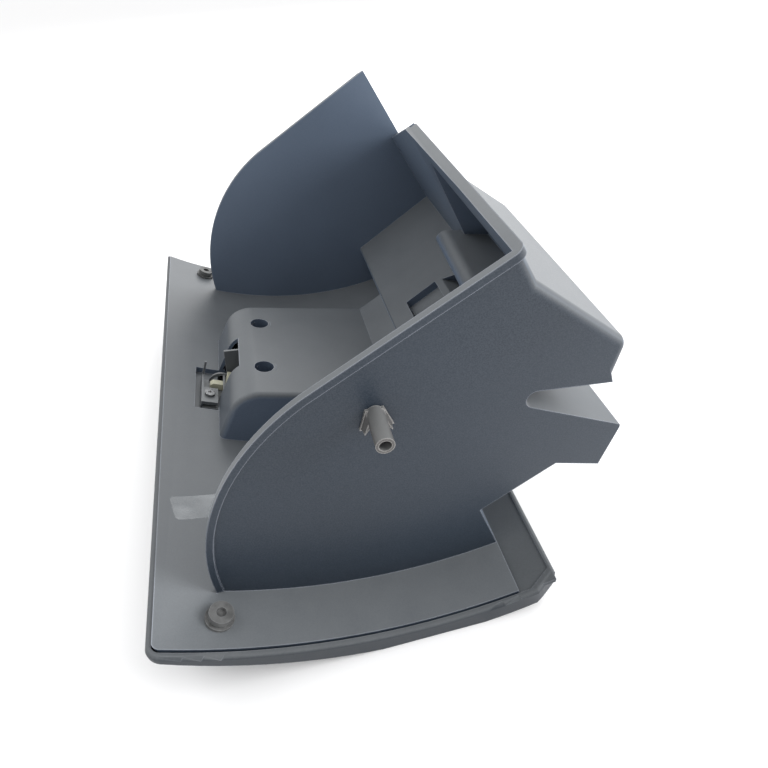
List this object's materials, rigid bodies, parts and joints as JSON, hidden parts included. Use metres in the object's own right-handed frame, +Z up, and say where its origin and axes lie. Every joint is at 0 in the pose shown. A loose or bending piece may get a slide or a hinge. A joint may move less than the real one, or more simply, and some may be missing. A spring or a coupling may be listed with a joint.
{
  "type": "glove box",
  "caption": "Vehicle glove box: curved door skin, inner panel with an open bin, handle housing, pull handle and sliding latch bolt.",
  "frame": {"origin": "below the middle of the bounding box, on the flat strip of the skin that it rests on", "axes": "+X from the latch edge to the hinge edge, +Y along the width of the vehicle away from the damper post, +Z up as it lies on its door"},
  "size_m": [0.2484, 0.389, 0.1941],
  "materials": {
    "skin": "fine grain",
    "moulding": "satin moulded",
    "post": "satin moulded",
    "buffer": "matt",
    "latch_frame": "satin moulded",
    "bolt": "smooth",
    "bowl": "fine grain",
    "lever": "fine grain",
    "pin": "plain",
    "spring": "drawn wire",
    "screw": "zinc plated"
  },
  "bodies": {
    "door": {"outer_skin": "skin", "inner_bin": "moulding", "damper_post": "post", "bumper_near": "buffer", "bumper_far": "buffer", "latch_housing": "latch_frame", "latch_screw": "screw", "handle_bowl": "bowl", "handle_pin": "pin", "handle_spring": "spring", "handle_screws": "screw", "bolt_spring": "spring", "hinge_pin_near": "pin", "hinge_pin_far": "pin"},
    "lever": {"handle_lever": "lever"},
    "bolt": {"latch_bolt": "bolt"}
  },
  "joints": [
    {"name": "handle_hinge", "type": "hinge", "parent": "door", "child": "lever", "pos_m": [-0.0655, 0.013, 0.01914], "axis": [0, 1, 0], "range_deg": [0, 30], "stiffness_Nm_per_rad": 0.02, "springref_deg": -9.74, "deforming": ["handle_spring"]},
    {"name": "bolt_slide", "type": "slide", "parent": "door", "child": "bolt", "axis": [0.9048, 0, -0.4258], "range_m": [0, 0.0075], "stiffness_N_per_m": 4, "springref_m": -0.002, "deforming": ["bolt_spring"]}
  ],
  "couplings": [
    {"joint": "bolt_slide", "follows": "handle_hinge", "m_per_rad": 0.014324}
  ]
}
